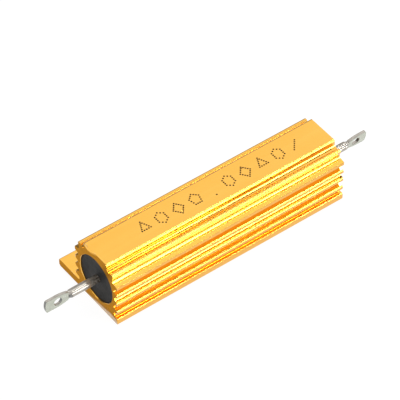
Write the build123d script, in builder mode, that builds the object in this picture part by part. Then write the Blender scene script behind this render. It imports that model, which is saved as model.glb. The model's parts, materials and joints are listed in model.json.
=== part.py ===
from build123d import *
from math import cos, radians, sin, sqrt
import os

os.makedirs("parts", exist_ok=True)

# Millimetres. The body lies along X and rests on Z = 0, with the bore's axis above the origin.
# The near end is at -X, and the mounting tabs stand out on the +Y side.
# A reach is a distance from the bore's axis in Y, the same on both sides unless it says otherwise.
# A depth in the section is measured down from the top flat.

# Extruded body: its section is laid out round the bore
body_length = 62.0
bore_radius = 5.85
bore_chamfer = 0.2
bore_floor = 2.05
bore_wall = 0.97
bore_roof = 2.25

# Side fins: both faces slope towards a blunt tip, whose upper edge is well rounded but for the top fin's.
# A valley is as deep as the others unless that would leave too thin a wall beside the bore.
fin_count = 4
top_fin_depth = 4.16
lowest_fin_rise = 2.25
fin_length = 0.9
fin_tip = 0.93
fin_upper_fall = 0.37
fin_lower_rise = 0.38
fin_upper_rounding = 0.4
fin_lower_rounding = 0.19
top_fin_rounding = 0.065
valley_length = 1.27
valley_rounding = 0.26

# Top of the body: a raised flat, a shallow groove beside it and a low crest past the groove
flat_rounding = 0.44
groove_depth = 1.76
groove_width = 0.95
groove_fall = 0.16
groove_rounding = 0.37
crest_depth = 1.5
crest_slope_width = 0.5
crest_width = 0.88
crest_overhang = 0.13
crest_rounding = 0.4
crest_inner_rounding = 0.08
notch_depth = 3.07
notch_undercut = 0.46
notch_rounding = 0.28
notch_root_rounding = 0.4

# Base flange, left standing at both ends of the +Y side as mounting tabs
flange_thickness = 1.97
edge_overhang = 0.08
edge_upper_rounding = 0.25
edge_lower_rounding = 0.5
tab_width = 6.4
tab_length = 10.0
tab_corner = 1.0
hole_diameter = 3.3
hole_end_distance = 5.0
hole_edge_distance = 3.2

# Clearance between pieces that are pushed or moulded into each other
seat = 0.03

# Ceramic core and its pressed caps
core_inset = 8.0
core_bore_radius = 1.8
core_chamfer = 0.3
cap_wall = 0.4
cap_end_wall = 0.6
cap_depth = 4.0
cap_bevel = 0.3

# Resistance ribbon
ribbon_width = 1.5
ribbon_thickness = 0.3
ribbon_turns = 5

# Moulded filling round the wound core
filling_wall = 1.29
filling_gap = 0.1

# Black end seals, with a face that is dished between the terminal and the bore
seal_thickness = 2.5
seal_rim_depth = 0.35
seal_dish_depth = 0.55
seal_stem_depth = 0.3

# Terminals: a round stem, flattened into a lug with a hole
stem_radius = 1.0
flattening_length = 0.7
lug_thickness = 0.7
lug_neck_width = 2.2
lug_width = 3.3
lug_swell_length = 3.0
lug_tip_radius = 5.0
lug_corner = 0.45
lug_hole_diameter = 2.05

# Each terminal, as it came out of assembly: how far its tip reaches past the end of the body, how far
# the flat and the hole's middle lie back from the tip, its place off the bore's axis and its turn
near_reach = 13.45
near_lug_length = 5.95
near_hole_setback = 3.25
near_offset = (0.0, 0.0)
near_turn = 0.0
far_reach = 12.1
far_lug_length = 5.1
far_hole_setback = 2.93
far_offset = (-0.45, -0.6)
far_turn = 10.0

body_end = body_length / 2
bore_height = bore_floor + bore_radius
body_height = bore_height + bore_radius + bore_roof
moulded_radius = bore_radius - seat

fin_reach = bore_radius + bore_wall + fin_length
valley_reach = fin_reach - valley_length
crest_reach = valley_reach + crest_overhang
crest_inner_reach = crest_reach - crest_width
groove_reach = crest_inner_reach - crest_slope_width
flat_reach = groove_reach - groove_width
notch_reach = crest_reach - notch_undercut
edge_reach = fin_reach + edge_overhang
tab_reach = edge_reach + tab_width

groove_height = body_height - groove_depth
crest_height = body_height - crest_depth
notch_height = body_height - notch_depth
top_fin_height = body_height - top_fin_depth
lowest_fin_height = flange_thickness + lowest_fin_rise
fin_pitch = (top_fin_height - lowest_fin_height) / (fin_count - 1)

core_end = body_end - core_inset
core_radius = moulded_radius - filling_wall - filling_gap - cap_wall - seat
cap_end = core_end + seat + cap_end_wall
cap_radius = core_radius + seat + cap_wall
cap_rim = core_end - cap_depth
ribbon_radius = core_radius + seat
ribbon_top = ribbon_radius + ribbon_thickness
seal_inner_end = body_end - seal_rim_depth - seal_thickness
stem_hole_radius = stem_radius + seat


def floor_reach(low, high):
    """Reach of a valley's floor between two heights."""
    nearest = min(max(bore_height, low), high) - bore_height
    bore_reach = sqrt(max(bore_radius**2 - nearest**2, 0))
    return max(valley_reach, bore_reach + bore_wall)


def outline_side(side):
    """Points of the section from the top flat down to the flange; side is 1 for +Y."""
    points = [
        (flat_reach, body_height),
        (flat_reach, groove_height),
        (groove_reach, groove_height - groove_fall),
        (crest_inner_reach, crest_height),
        (crest_reach, crest_height),
        (notch_reach, notch_height),
        (notch_reach, top_fin_height + fin_upper_fall),
    ]
    for index in range(fin_count):
        tip = top_fin_height - index * fin_pitch
        roof = tip - fin_tip - fin_lower_rise
        is_last = index == fin_count - 1
        floor = flange_thickness if is_last else tip - fin_pitch + fin_upper_fall
        reach = floor_reach(floor, roof)
        points += [(fin_reach, tip), (fin_reach, tip - fin_tip), (reach, roof), (reach, floor)]
    return [(side * y, z) for y, z in points]


def corners_at(sketch, reach, heights):
    """Corners of the section at one reach, on either side, between two heights."""
    low, high = heights
    return [
        corner
        for corner in sketch.vertices()
        if abs(abs(corner.X) - reach) < 0.001 and low - 0.001 < corner.Y < high + 0.001
    ]


def valley_corners(sketch):
    """Inner corners of the valleys between the fins."""
    return [
        corner
        for corner in sketch.vertices()
        if valley_reach - 0.001 < abs(corner.X) < fin_reach - 0.001
        and flange_thickness - 0.001 < corner.Y < top_fin_height - fin_tip
    ]


# Housing

with BuildPart() as housing:
    with BuildSketch(Plane.YZ) as section:
        with BuildLine():
            tab_edge = [(tab_reach, flange_thickness), (tab_reach, 0)]
            seen_edge = [(-edge_reach, 0), (-edge_reach, flange_thickness)]
            right = outline_side(1) + tab_edge
            left = seen_edge + outline_side(-1)[::-1]
            Polyline(*right, *left, close=True)
        make_face()
        fillet(valley_corners(section), valley_rounding)
        notch_root = top_fin_height + fin_upper_fall
        upper_edges = (lowest_fin_height, top_fin_height - fin_pitch)
        lower_edges = [top_fin_height - fin_tip - index * fin_pitch for index in range(fin_count)]
        for reach, heights, radius in (
            (flat_reach, (body_height, body_height), flat_rounding),
            (flat_reach, (groove_height, groove_height), groove_rounding),
            (crest_inner_reach, (crest_height, crest_height), crest_inner_rounding),
            (crest_reach, (crest_height, crest_height), crest_rounding),
            (notch_reach, (notch_height, notch_height), notch_rounding),
            (notch_reach, (notch_root, notch_root), notch_root_rounding),
            (fin_reach, (top_fin_height, top_fin_height), top_fin_rounding),
            (fin_reach, upper_edges, fin_upper_rounding),
            *[(fin_reach, (edge, edge), fin_lower_rounding) for edge in lower_edges],
            (tab_reach, (flange_thickness, flange_thickness), edge_upper_rounding),
            (edge_reach, (flange_thickness, flange_thickness), edge_upper_rounding),
            (tab_reach, (0, 0), edge_lower_rounding),
            (edge_reach, (0, 0), edge_lower_rounding),
        ):
            fillet(corners_at(section, reach, heights), radius)
        with Locations((0, bore_height)):
            Circle(bore_radius, mode=Mode.SUBTRACT)
    extrude(amount=body_end, both=True)

    bore_rims = housing.edges().filter_by(GeomType.CIRCLE).filter_by(
        lambda edge: abs(edge.radius - bore_radius) < 0.001
    )
    chamfer(bore_rims, bore_chamfer)

    # The flange is cut back between the tabs
    with BuildSketch(Plane.XY):
        with BuildLine():
            gap_end = body_end - tab_length
            outside = tab_reach + tab_corner
            Polyline(
                (-gap_end, outside),
                (-gap_end, edge_reach),
                (gap_end, edge_reach),
                (gap_end, outside),
                close=True,
            )
        gap = make_face()
        fillet(gap.vertices().group_by(Axis.Y)[0], tab_corner)
    extrude(amount=flange_thickness, mode=Mode.SUBTRACT)

    with BuildSketch(Plane.XY):
        hole_x = body_end - hole_end_distance
        hole_y = tab_reach - hole_edge_distance
        with Locations((-hole_x, hole_y), (hole_x, hole_y)):
            Circle(hole_diameter / 2)
    extrude(amount=flange_thickness, mode=Mode.SUBTRACT)


# Ceramic core

with BuildPart() as ceramic_core:
    with BuildSketch(Plane.YZ):
        with Locations((0, bore_height)):
            Circle(core_radius)
            Circle(core_bore_radius, mode=Mode.SUBTRACT)
    extrude(amount=core_end, both=True)
    chamfer(ceramic_core.faces().filter_by(Axis.X).edges(), core_chamfer)


# Winding: one ribbon wound flat on the core from cap to cap

with BuildPart() as resistance_winding:
    wound_length = 2 * cap_rim - ribbon_width - 2 * seat
    start = Vector(-wound_length / 2, 0, bore_height)
    with BuildLine() as ribbon_path:
        Helix(
            pitch=wound_length / ribbon_turns,
            height=wound_length,
            radius=ribbon_radius + ribbon_thickness / 2,
            center=start,
            direction=(1, 0, 0),
        )
    path_start = ribbon_path.line @ 0
    outward = (path_start - start).normalized()
    with BuildSketch(Plane(path_start, x_dir=outward, z_dir=ribbon_path.line % 0)):
        Rectangle(ribbon_thickness, ribbon_width)
    sweep(path=ribbon_path.line, is_frenet=True)


def end_cap(end):
    """Pressed cup over one end of the core; end is -1 for the near end."""
    with BuildPart() as cap:
        with BuildSketch(Plane.XY.offset(bore_height)):
            with BuildLine():
                Polyline(
                    (end * cap_rim, core_radius + seat),
                    (end * cap_rim, cap_radius),
                    (end * cap_end, cap_radius),
                    (end * cap_end, 0),
                    (end * (core_end + seat), 0),
                    (end * (core_end + seat), core_radius + seat),
                    close=True,
                )
            make_face()
        revolve(axis=Axis((0, 0, bore_height), (1, 0, 0)))
        outer_rim = cap.edges().filter_by(GeomType.CIRCLE).filter_by(
            lambda edge: abs(edge.radius - cap_radius) < 0.001 and abs(edge.center().X) > core_end
        )
        chamfer(outer_rim, cap_bevel)
    return cap


def terminal(end, reach, lug_length, hole_setback, offset, turn):
    """Stem welded to a cap and flattened past the body; the lug's faces look along Y before its turn."""
    axis_point = Vector(0, offset[0], bore_height + offset[1])
    wide = Vector(0, sin(radians(turn)), -cos(radians(turn)))
    out = Vector(end, 0, 0)

    def across(distance):
        """Plane across the terminal, at a distance past the end of the body; its x is the lug's width."""
        return Plane(axis_point + out * (body_end + distance), x_dir=wide, z_dir=out)

    lug_start = reach - lug_length
    stem_end = lug_start - flattening_length
    with BuildPart() as rod:
        with BuildSketch(Plane(axis_point + out * cap_end, x_dir=wide, z_dir=out)):
            Circle(stem_radius)
        extrude(amount=body_end + stem_end - cap_end)
        with BuildSketch(across(stem_end)):
            Circle(stem_radius)
        with BuildSketch(across(lug_start)):
            RectangleRounded(lug_neck_width, lug_thickness, lug_thickness * 0.45)
        loft()

        lug_plane = Plane(axis_point + out * body_end, x_dir=out, z_dir=out.cross(wide))
        half_neck = lug_neck_width / 2
        half_width = lug_width / 2
        swell_end = lug_start + lug_swell_length
        shoulder = reach - lug_tip_radius + (lug_tip_radius**2 - half_width**2) ** 0.5
        with BuildSketch(lug_plane) as lug:
            with BuildLine():
                Polyline((swell_end, -half_width), (shoulder, -half_width))
                ThreePointArc((shoulder, -half_width), (reach, 0), (shoulder, half_width))
                Line((shoulder, half_width), (swell_end, half_width))
                Spline(
                    (swell_end, half_width), (lug_start, half_neck), tangents=[(-1, 0), (-1, -0.3)]
                )
                Line((lug_start, half_neck), (lug_start, -half_neck))
                Spline(
                    (lug_start, -half_neck), (swell_end, -half_width), tangents=[(1, -0.3), (1, 0)]
                )
            make_face()
            fillet(lug.vertices().group_by(Axis.X)[-1], lug_corner)
            with Locations((reach - hole_setback, 0)):
                Circle(lug_hole_diameter / 2, mode=Mode.SUBTRACT)
        extrude(amount=lug_thickness / 2, both=True)
    return rod


def end_seal(end, offset):
    """Black plug in one end of the bore, dished between the terminal and the wall."""
    with BuildPart() as plug:
        with BuildSketch(Plane.XY.offset(bore_height)):
            dish_reach = (moulded_radius + stem_radius) / 2
            rim = (end * (body_end - seal_rim_depth), moulded_radius)
            dish = (end * (body_end - seal_dish_depth), dish_reach)
            middle = (end * (body_end - seal_stem_depth), 0)
            back = end * seal_inner_end
            with BuildLine():
                Polyline(rim, dish, middle, (back, 0), (back, moulded_radius), close=True)
            make_face()
        revolve(axis=Axis((0, 0, bore_height), (1, 0, 0)))
        with BuildSketch(Plane.YZ):
            with Locations((offset[0], bore_height + offset[1])):
                Circle(stem_hole_radius)
        extrude(amount=end * body_end, mode=Mode.SUBTRACT)
    return plug


near_end_cap = end_cap(-1)
far_end_cap = end_cap(1)
near_terminal = terminal(
    -1, near_reach, near_lug_length, near_hole_setback, near_offset, near_turn
)
far_terminal = terminal(1, far_reach, far_lug_length, far_hole_setback, far_offset, far_turn)
near_end_seal = end_seal(-1, near_offset)
far_end_seal = end_seal(1, far_offset)


# Moulded filling between the wound core and the bore, from seal to seal

with BuildPart() as potting_compound:
    with BuildSketch(Plane.YZ):
        with Locations((0, bore_height)):
            Circle(moulded_radius)
    extrude(amount=seal_inner_end - seat, both=True)
    with BuildSketch(Plane.YZ):
        with Locations((0, bore_height)):
            Circle(max(cap_radius, ribbon_top) + filling_gap)
    extrude(amount=cap_end + seat, both=True, mode=Mode.SUBTRACT)
    for end, offset in ((-1, near_offset), (1, far_offset)):
        with BuildSketch(Plane.YZ):
            with Locations((offset[0], bore_height + offset[1])):
                Circle(stem_hole_radius)
        extrude(amount=end * body_end, mode=Mode.SUBTRACT)


pieces = {
    "housing": housing,
    "ceramic_core": ceramic_core,
    "resistance_winding": resistance_winding,
    "near_end_cap": near_end_cap,
    "far_end_cap": far_end_cap,
    "near_terminal": near_terminal,
    "far_terminal": far_terminal,
    "near_end_seal": near_end_seal,
    "far_end_seal": far_end_seal,
    "potting_compound": potting_compound,
}
for name, piece in pieces.items():
    piece.part.label = name
    export_step(piece.part, f"parts/{name}.step")
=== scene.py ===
import json
from math import cos, pi, radians, sin, tan

import bmesh
import bpy
from mathutils import Matrix, Vector


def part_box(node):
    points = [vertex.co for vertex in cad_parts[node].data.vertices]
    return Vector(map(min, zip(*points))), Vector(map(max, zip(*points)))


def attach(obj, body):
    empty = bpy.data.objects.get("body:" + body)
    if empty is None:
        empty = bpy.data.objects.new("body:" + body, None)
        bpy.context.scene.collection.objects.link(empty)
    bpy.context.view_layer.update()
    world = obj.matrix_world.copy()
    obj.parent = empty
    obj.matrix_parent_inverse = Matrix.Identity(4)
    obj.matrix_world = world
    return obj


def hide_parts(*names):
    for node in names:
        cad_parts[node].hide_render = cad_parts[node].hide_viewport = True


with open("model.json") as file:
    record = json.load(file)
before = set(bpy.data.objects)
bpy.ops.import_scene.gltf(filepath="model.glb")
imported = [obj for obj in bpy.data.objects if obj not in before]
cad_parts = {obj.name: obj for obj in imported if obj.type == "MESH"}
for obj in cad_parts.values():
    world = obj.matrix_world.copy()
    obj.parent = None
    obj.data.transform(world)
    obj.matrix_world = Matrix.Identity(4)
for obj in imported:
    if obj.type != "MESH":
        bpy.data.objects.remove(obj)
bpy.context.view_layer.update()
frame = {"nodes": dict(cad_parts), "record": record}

# Lengths are in metres, as in the frame. MM turns the millimetres written below into metres.
MM = 0.001
BODY = "root"
BODY_END = 31.0 * MM

# Camera: where it looks, from which side and how far
TARGET = Vector((1.9, 6.6, 6.1)) * MM
HEADING = radians(53.02)
TILT = radians(46.69)
DISTANCE = 634.9 * MM
LENS = 258.5
SENSOR_WIDTH = 36.0
CLIP_START = 50 * MM

# Stage. The floor's two shares of plain white are for the camera and for reflections.
FLOOR_SIZE = 4.0
FLOOR_HEIGHT = -0.01 * MM
FLOOR_WHITE_LEVEL = 1.15
FLOOR_SHOWN_WHITE = 0.8
FLOOR_MIRRORED_WHITE = 0.6
LAMP_DISTANCE = 1.0
LAMP_WIDTH = 0.22

# Levels of the surround by the Y of the direction: front, a dark gap above the middle lamp, back, and a dark
# card over the far side
SURROUND_LEVELS = ((-0.62, 0.95), (-0.5, 0.15), (-0.08, 0.15), (0.12, 1.08), (0.6, 1.08), (0.68, 0.2))

# Marks punched into the top flat: figures outlined with dots, given by their number of corners. A figure of 2
# is a slanted bar, and one of 0 a single dot.
FIGURES = (3, 6, 4, 5, 0, 6, 4, 3, 6, 2)
FIGURE_PITCH = 4.55 * MM
FIGURE_START = -18.0 * MM
FIGURE_WIDTH = 2.7 * MM
FIGURE_HEIGHT = 3.4 * MM
DOT_PITCH = 0.58 * MM
DOT_RADIUS = 0.21 * MM
DOT_DEPTH = 0.12 * MM
DOT_TAPER = 0.65
DOT_SIDES = 10

WELD_DISTANCE = 0.0001 * MM
SHARP_ANGLE = radians(30)


class Material:
    """A new material with short ways to add shader nodes."""

    def __init__(self, name):
        self.material = bpy.data.materials.new(name)
        self.material.use_nodes = True
        self.tree = self.material.node_tree
        self.surface = self.tree.nodes["Principled BSDF"]
        self.place = self.add("ShaderNodeTexCoord").outputs["Object"]
        self.normal = self.add("ShaderNodeNewGeometry").outputs["Normal"]

    def add(self, kind, **settings):
        """A new node. A setting named as an input is set or linked there, any other is an attribute."""
        node = self.tree.nodes.new(kind)
        for key, value in settings.items():
            if hasattr(node, key):
                setattr(node, key, value)
            else:
                self.feed(node.inputs[key], value)
        return node

    def feed(self, socket, value):
        """Links an output to a socket, or sets the socket's own value."""
        if isinstance(value, bpy.types.NodeSocket):
            self.tree.links.new(value, socket)
        else:
            socket.default_value = value

    def set(self, **values):
        """Sets inputs of the surface shader, with underscores for the spaces in their names."""
        for key, value in values.items():
            self.feed(self.surface.inputs[key.replace("_", " ")], value)

    def math(self, operation, a, b=0.0, c=0.0):
        node = self.add("ShaderNodeMath", operation=operation)
        for socket, value in zip(node.inputs, (a, b, c)):
            self.feed(socket, value)
        return node.outputs[0]

    def part(self, vector, axis):
        """One number of a vector: axis 0 is X."""
        return self.add("ShaderNodeSeparateXYZ", Vector=vector).outputs[axis]

    def absolute(self, value):
        return self.math("ABSOLUTE", value)

    def scaled(self, x, y, z):
        """The place on the object, with each axis multiplied, for stretched patterns."""
        node = self.add("ShaderNodeVectorMath", operation="MULTIPLY")
        self.feed(node.inputs[0], self.place)
        node.inputs[1].default_value = (x, y, z)
        return node.outputs[0]

    def noise(self, size, detail=3.0, roughness=0.55, stretch=(1, 1, 1)):
        """Noise from 0 to 1 with grains of about this size, longer along the stretched axes."""
        scale = [1 / (size * axis) for axis in stretch]
        node = self.add(
            "ShaderNodeTexNoise", Vector=self.scaled(*scale), Scale=1.0, Detail=detail, Roughness=roughness
        )
        return node.outputs[0]

    def ramp(self, value, low, high, out_low=0.0, out_high=1.0):
        """A value moved from one range to another and held inside it."""
        node = self.add("ShaderNodeMapRange", clamp=True)
        for key, number in zip(
            ("Value", "From Min", "From Max", "To Min", "To Max"), (value, low, high, out_low, out_high)
        ):
            self.feed(node.inputs[key], number)
        return node.outputs[0]

    def mix(self, share, a, b, blend_type="MIX"):
        """A colour mixed from two."""
        node = self.add("ShaderNodeMix", data_type="RGBA", blend_type=blend_type)
        self.feed(node.inputs["Factor"], share)
        for socket, value in ((node.inputs[6], a), (node.inputs[7], b)):
            self.feed(socket, (*value, 1.0) if isinstance(value, tuple) else value)
        return node.outputs[2]

    def at_edges(self, reach):
        """From 0 on faces to 1 on the edges, within this reach of them."""
        rounded = self.add("ShaderNodeBevel", samples=6, Radius=reach)
        both = self.add("ShaderNodeVectorMath", operation="DOT_PRODUCT")
        self.feed(both.inputs[0], rounded.outputs[0])
        self.feed(both.inputs[1], self.normal)
        return self.ramp(both.outputs["Value"], 0.99, 0.85)

    def in_recesses(self, reach):
        """From 0 on open faces to 1 at the bottom of recesses about as deep as the reach."""
        seen = self.add("ShaderNodeAmbientOcclusion", samples=6, only_local=True, Distance=reach)
        return self.ramp(seen.outputs["AO"], 0.6, 0.35)

    def bump(self, height, depth, below=None):
        """Normals of a relief of this depth."""
        node = self.add("ShaderNodeBump", Height=height, Distance=depth, Strength=1.0)
        if below is not None:
            self.feed(node.inputs["Normal"], below)
        return node.outputs[0]


def gold_anodised():
    """Satin gold oxide on extruded aluminium: fine die lines along X, painted shade that darkens the gold
    deep in the grooves, and sawn ends with a burr, saw lines and painted shade that makes them about half as
    bright."""
    m = Material("gold_anodised")
    sawn = m.ramp(m.absolute(m.part(m.normal, 0)), 0.7, 0.9)
    end = m.ramp(m.absolute(m.part(m.place, 0)), BODY_END - 0.2 * MM, BODY_END - 0.05 * MM)
    die_lines = m.noise(0.16 * MM, detail=2.0, stretch=(300, 1, 1))
    broad_streaks = m.noise(1.5 * MM, detail=2.0, stretch=(40, 1, 1))
    grain = m.noise(0.09 * MM, detail=2.0)
    clouds = m.noise(9 * MM, detail=3.0)
    saw_lines = m.noise(0.12 * MM, detail=2.0, stretch=(1, 30, 1))
    satin = m.ramp(grain, 0.3, 0.7, 0.10, 0.15)
    burr = m.math("MULTIPLY", end, m.ramp(m.noise(0.4 * MM), 0.58, 0.66))

    tone = m.math("ADD", m.ramp(broad_streaks, 0.3, 0.7, -0.5, 0.5), m.ramp(clouds, 0.3, 0.7, -0.5, 0.5))
    gold = m.mix(m.ramp(tone, -1.0, 1.0), (0.965, 0.475, 0.03), (0.985, 0.52, 0.05))
    # Painted shade: occlusion within 0.8 mm turns the gold brown at the bottom of the grooves and fin roots;
    # roughness rises there too.
    recess = m.in_recesses(0.8 * MM)
    painted_groove_shade = m.mix(recess, gold, (0.50, 0.17, 0.01))
    burred_and_shaded = m.mix(burr, painted_groove_shade, (0.97, 0.66, 0.28))
    # Painted shade: the sawn end faces get about half the brightness of the long faces, with lighter and
    # darker saw lines.
    cut = m.mix(m.ramp(saw_lines, 0.3, 0.7), (0.45, 0.195, 0.016), (0.60, 0.27, 0.03))
    m.set(
        Base_Color=m.mix(sawn, burred_and_shaded, cut),
        Metallic=1.0,
        Roughness=m.math("MULTIPLY_ADD", recess, 0.4, m.math("MULTIPLY_ADD", sawn, 0.3, satin)),
        Specular_Tint=m.mix(sawn, (1.0, 1.0, 1.0), (1.0, 0.8, 0.5)),
        Coat_Weight=m.ramp(sawn, 0.0, 1.0, 0.8, 0.0),
        Coat_Roughness=0.1,
        Coat_IOR=1.72,
    )
    drawn = m.bump(m.math("MULTIPLY", die_lines, m.math("SUBTRACT", 1.0, sawn)), 0.001 * MM)
    cut_relief = m.bump(m.math("MULTIPLY", saw_lines, sawn), 0.012 * MM, drawn)
    m.set(Normal=m.bump(grain, 0.0002 * MM, cut_relief))
    return m.material


def painted_shade_dots():
    """Walls of the punched marks: near black with painted shade, and a little lighter where the oxide is
    torn.
    """
    m = Material("painted_shade_dots")
    torn = m.noise(0.08 * MM)
    m.set(
        Base_Color=m.mix(m.ramp(torn, 0.35, 0.7), (0.008, 0.004, 0.002), (0.05, 0.02, 0.006)),
        Roughness=m.ramp(torn, 0.3, 0.7, 0.6, 0.8),
        Specular_IOR_Level=0.2,
        Normal=m.bump(torn, 0.01 * MM),
    )
    return m.material


def tinned_lead():
    """Hot tinned copper alloy, dull with age: rippled and duller still on the flattened faces, with a painted
    dark reflection on the ends where it was cut off, painted shade along its edges, and a painted reflection
    of the seal beside it."""
    m = Material("tinned_lead")
    ripples = m.noise(0.5 * MM, detail=3.0, stretch=(2.5, 1, 1))
    stains = m.noise(0.35 * MM, detail=4.0)
    grain = m.noise(0.06 * MM, detail=2.0)
    from_middle = m.absolute(m.part(m.place, 0))
    past_stem = m.ramp(from_middle, BODY_END + 6.8 * MM, BODY_END + 7.4 * MM)
    flattened = m.math("MULTIPLY", past_stem, m.ramp(m.absolute(m.part(m.normal, 1)), 0.9, 0.96))
    # Painted dark reflection: this mask picks the faces that face along X, at the ends where the lead was cut
    # off.
    painted_dark_ends = m.ramp(m.absolute(m.part(m.normal, 0)), 0.45, 0.7)
    # Painted reflection: within 3 mm of the seal the lead turns dark brown in patches, as if mirroring the
    # black seal and the gold face.
    beside_seal = m.ramp(from_middle, BODY_END + 0.2 * MM, BODY_END + 3 * MM, 1.0, 0.0)
    painted_seal_reflection = m.math("MULTIPLY", beside_seal, m.ramp(stains, 0.25, 0.6))

    rod = m.mix(m.ramp(ripples, 0.3, 0.7), (0.40, 0.37, 0.32), (0.62, 0.58, 0.52))
    face = m.mix(m.ramp(ripples, 0.3, 0.7), (0.52, 0.55, 0.46), (0.66, 0.69, 0.60))
    clean = m.mix(flattened, rod, face)
    stained = m.mix(m.ramp(stains, 0.6, 0.75, 0.0, 0.4), clean, (0.30, 0.25, 0.18))
    # Painted shade: the lead darkens towards every edge, within 0.14 mm of it.
    painted_edge_shade = m.mix(m.math("MULTIPLY", m.at_edges(0.14 * MM), 0.7), stained, (0.16, 0.14, 0.11))
    # Painted dark reflection on the ends where the lead was cut off: near black to grey.
    cut = m.mix(m.ramp(stains, 0.35, 0.65), (0.07, 0.07, 0.065), (0.42, 0.42, 0.40))
    m.set(
        Base_Color=m.mix(painted_seal_reflection, m.mix(painted_dark_ends, painted_edge_shade, cut), (0.09, 0.07, 0.05)),
        Metallic=m.ramp(ripples, 0.3, 0.7, 0.15, 0.4),
        Roughness=m.math("ADD", m.ramp(ripples, 0.3, 0.7, 0.05, 0.1), m.math("MULTIPLY", flattened, 0.18)),
        Normal=m.bump(grain, 0.0005 * MM, m.bump(ripples, 0.003 * MM)),
    )
    return m.material


def black_seal():
    """Cured black compound, matt, with dust and small pits."""
    m = Material("black_seal")
    cells = m.noise(0.25 * MM, detail=4.0)
    swirl = m.noise(2.5 * MM, detail=2.0)
    dust = m.ramp(m.noise(0.13 * MM, detail=1.0), 0.74, 0.78)
    shade = m.mix(m.ramp(swirl, 0.3, 0.7), (0.014, 0.014, 0.014), (0.028, 0.028, 0.027))
    m.set(
        Base_Color=m.mix(m.math("MULTIPLY", dust, 0.5), shade, (0.22, 0.21, 0.19)),
        Roughness=m.ramp(cells, 0.3, 0.7, 0.5, 0.72),
        Specular_IOR_Level=0.25,
        Normal=m.bump(cells, 0.02 * MM),
    )
    return m.material


def core_ceramic():
    """Unglazed steatite tube."""
    m = Material("core_ceramic")
    grain = m.noise(0.15 * MM, detail=4.0)
    m.set(
        Base_Color=m.mix(m.ramp(grain, 0.3, 0.7), (0.72, 0.68, 0.60), (0.84, 0.81, 0.74)),
        Roughness=m.ramp(grain, 0.3, 0.7, 0.6, 0.8),
        Normal=m.bump(grain, 0.01 * MM),
    )
    return m.material


def resistance_alloy():
    """Rolled nickel alloy ribbon, dull from annealing."""
    m = Material("resistance_alloy")
    streaks = m.noise(0.1 * MM, detail=3.0, stretch=(1, 8, 8))
    m.set(
        Base_Color=m.mix(m.ramp(streaks, 0.3, 0.7), (0.42, 0.38, 0.33), (0.56, 0.52, 0.46)),
        Metallic=1.0,
        Roughness=m.ramp(streaks, 0.3, 0.7, 0.3, 0.45),
        Normal=m.bump(streaks, 0.003 * MM),
    )
    return m.material


def cap_steel():
    """Pressed and plated steel cups."""
    m = Material("cap_steel")
    draw_lines = m.noise(0.1 * MM, detail=3.0, stretch=(10, 1, 1))
    m.set(
        Base_Color=m.mix(m.ramp(draw_lines, 0.3, 0.7), (0.56, 0.56, 0.55), (0.68, 0.68, 0.67)),
        Metallic=1.0,
        Roughness=m.ramp(draw_lines, 0.3, 0.7, 0.25, 0.4),
        Normal=m.bump(draw_lines, 0.003 * MM),
    )
    return m.material


def moulding():
    """Cement-like filling with fine sand in it."""
    m = Material("moulding")
    sand = m.noise(0.3 * MM, detail=5.0)
    m.set(
        Base_Color=m.mix(m.ramp(sand, 0.3, 0.7), (0.40, 0.38, 0.35), (0.58, 0.56, 0.52)),
        Roughness=m.ramp(sand, 0.3, 0.7, 0.75, 0.92),
        Normal=m.bump(sand, 0.05 * MM),
    )
    return m.material


MATERIALS = {
    "gold_anodised": gold_anodised(),
    "tinned_lead": tinned_lead(),
    "black_seal": black_seal(),
    "core_ceramic": core_ceramic(),
    "resistance_alloy": resistance_alloy(),
    "cap_steel": cap_steel(),
    "moulding": moulding(),
}
slot_of = {part["node"]: part["material_slot"] for part in frame["record"]["subparts"]}
for name, node in frame["nodes"].items():
    node.data.materials.clear()
    node.data.materials.append(MATERIALS[slot_of[name]])


def link(name, mesh):
    """A new object in the scene."""
    made = bpy.data.objects.new(name, mesh)
    bpy.context.scene.collection.objects.link(made)
    return made


def figure_dots(corners):
    """Places of the dots of one figure, round its centre: a single dot, a slanted bar or an outline."""
    if corners == 0:
        return [(0.0, -FIGURE_HEIGHT / 2)]
    turn = pi / 4 if corners == 2 else pi / 2
    ring = [turn + 2 * pi * k / corners for k in range(corners)]
    points = [Vector((FIGURE_WIDTH / 2 * cos(a), FIGURE_HEIGHT / 2 * sin(a))) for a in ring]
    dots = []
    for k, start in enumerate(points):
        end = points[(k + 1) % corners]
        steps = max(1, round((end - start).length / DOT_PITCH))
        dots += [tuple(start.lerp(end, step / steps)) for step in range(steps)]
        if corners == 2:
            return dots + [tuple(end)]
    return dots


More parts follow.
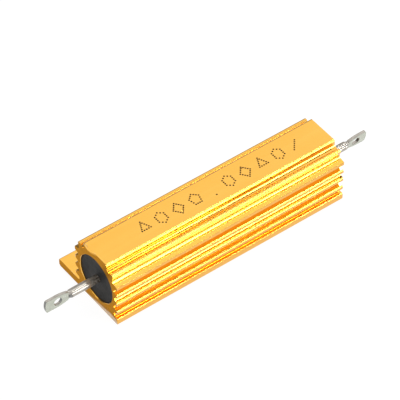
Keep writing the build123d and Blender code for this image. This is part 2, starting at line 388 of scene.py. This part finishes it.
def punched_housing():
    """The housing with pits where the marks are punched into its top flat."""
    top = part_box("housing")[1].z
    pins = bmesh.new()
    for k, corners in enumerate(FIGURES):
        for x, y in figure_dots(corners):
            made = bmesh.ops.create_cone(
                pins,
                cap_ends=True,
                segments=DOT_SIDES,
                radius1=DOT_RADIUS * (1 - DOT_TAPER),
                radius2=DOT_RADIUS * (1 + DOT_TAPER),
                depth=2 * DOT_DEPTH,
            )
            centre = (FIGURE_START + k * FIGURE_PITCH + x, y, top)
            bmesh.ops.translate(pins, verts=made["verts"], vec=centre)
    pin_mesh = bpy.data.meshes.new("pins")
    pins.to_mesh(pin_mesh)
    pins.free()
    # The pit walls take the material with the painted shade.
    pin_mesh.materials.append(painted_shade_dots())
    pin_object = link("pins", pin_mesh)

    mesh = frame["nodes"]["housing"].data.copy()
    solid = bmesh.new()
    solid.from_mesh(mesh)
    bmesh.ops.remove_doubles(solid, verts=solid.verts, dist=WELD_DISTANCE)
    solid.to_mesh(mesh)
    solid.free()
    housing = link("punched_housing", mesh)
    cut = housing.modifiers.new("marks", "BOOLEAN")
    cut.operation = "DIFFERENCE"
    cut.object = pin_object
    cut.solver = "EXACT"
    cut.material_mode = "TRANSFER"
    bpy.context.view_layer.update()
    cut_mesh = bpy.data.meshes.new_from_object(housing.evaluated_get(bpy.context.evaluated_depsgraph_get()))
    housing.modifiers.clear()
    housing.data = cut_mesh
    bpy.data.objects.remove(pin_object)
    cut_mesh.polygons.foreach_set("use_smooth", [True] * len(cut_mesh.polygons))
    cut_mesh.set_sharp_from_angle(angle=SHARP_ANGLE)
    weigh = housing.modifiers.new("normals", "WEIGHTED_NORMAL")
    weigh.keep_sharp = True
    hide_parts("housing")
    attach(housing, BODY)
    return housing


punched_housing()


# Stage: a plain pale floor, soft lamps and a pale surround

def floor_material():
    """Shows white to the camera and in reflections, and keeps a soft shadow."""
    m = Material("floor")
    rays = m.add("ShaderNodeLightPath")
    mirrored = m.math("MAXIMUM", rays.outputs["Is Glossy Ray"], rays.outputs["Is Transmission Ray"])
    seen = m.math("MULTIPLY", rays.outputs["Is Camera Ray"], FLOOR_SHOWN_WHITE)
    white_share = m.math("MULTIPLY_ADD", mirrored, FLOOR_MIRRORED_WHITE, seen)
    white = m.add("ShaderNodeEmission", Color=(1, 1, 1, 1), Strength=FLOOR_WHITE_LEVEL)
    m.set(Base_Color=(0.85, 0.85, 0.85, 1.0), Roughness=0.9, Specular_IOR_Level=0.0)
    both = m.add("ShaderNodeMixShader")
    m.feed(both.inputs[0], white_share)
    m.feed(both.inputs[1], m.surface.outputs[0])
    m.feed(both.inputs[2], white.outputs[0])
    m.feed(m.tree.nodes["Material Output"].inputs[0], both.outputs[0])
    return m.material


floor_mesh = bpy.data.meshes.new("floor")
half = FLOOR_SIZE / 2
corners = ((-half, -half), (half, -half), (half, half), (-half, half))
floor_mesh.from_pydata([(x, y, FLOOR_HEIGHT) for x, y in corners], [], [(0, 1, 2, 3)])
floor_mesh.materials.append(floor_material())
floor = link("floor", floor_mesh)


def softbox(name, angle, height, radiance):
    """An area lamp that the long faces can mirror into the camera. Its angle and height are in degrees, seen
    along the body and counted up from the -Y side. Radiance is what a mirror would show."""
    along = cos(TILT) * cos(HEADING)
    across = (1 - along**2) ** 0.5
    toward = Vector((along, -across * cos(radians(angle)), across * sin(radians(angle))))
    upward = Vector((0, sin(radians(angle)), cos(radians(angle))))
    size = 2 * LAMP_DISTANCE * across * tan(radians(height / 2))
    lamp = bpy.data.lights.new(name, "AREA")
    lamp.shape = "RECTANGLE"
    lamp.size, lamp.size_y = LAMP_WIDTH, size
    lamp.energy = radiance * pi * LAMP_WIDTH * size
    turn = Matrix((upward.cross(toward), upward, toward)).transposed()
    link(name, lamp).matrix_world = Matrix.LocRotScale(toward * LAMP_DISTANCE, turn, None)


softbox("low_lamp", 9, 9, 20.0)
softbox("middle_lamp", 57.5, 5, 24.0)
softbox("high_lamp", 91.5, 3.6, 20.0)

world = bpy.data.worlds.new("surround")
world.use_nodes = True
tree = world.node_tree
direction = tree.nodes.new("ShaderNodeSeparateXYZ")
tree.links.new(tree.nodes.new("ShaderNodeTexCoord").outputs["Generated"], direction.inputs[0])
along_y = tree.nodes.new("ShaderNodeMapRange")
tree.links.new(direction.outputs[1], along_y.inputs["Value"])
along_y.inputs["From Min"].default_value = -1.0
level = tree.nodes.new("ShaderNodeValToRGB")
tree.links.new(along_y.outputs[0], level.inputs[0])
stops = level.color_ramp.elements
for y, value in SURROUND_LEVELS:
    stops.new((y + 1) / 2).color = (value, value, value, 1)
for spare in (stops[-1], stops[0]):
    stops.remove(spare)
tree.links.new(level.outputs[0], tree.nodes["Background"].inputs["Color"])
bpy.context.scene.world = world
bpy.context.scene.view_settings.view_transform = "Standard"

camera_data = bpy.data.cameras.new("camera")
camera_data.lens = LENS
camera_data.sensor_width = SENSOR_WIDTH
camera_data.clip_start = CLIP_START
camera = link("camera", camera_data)
forward = Vector((cos(TILT) * cos(HEADING), cos(TILT) * sin(HEADING), -sin(TILT)))
camera.location = TARGET - forward * DISTANCE
camera.rotation_euler = forward.to_track_quat("-Z", "Y").to_euler()
bpy.context.scene.camera = camera
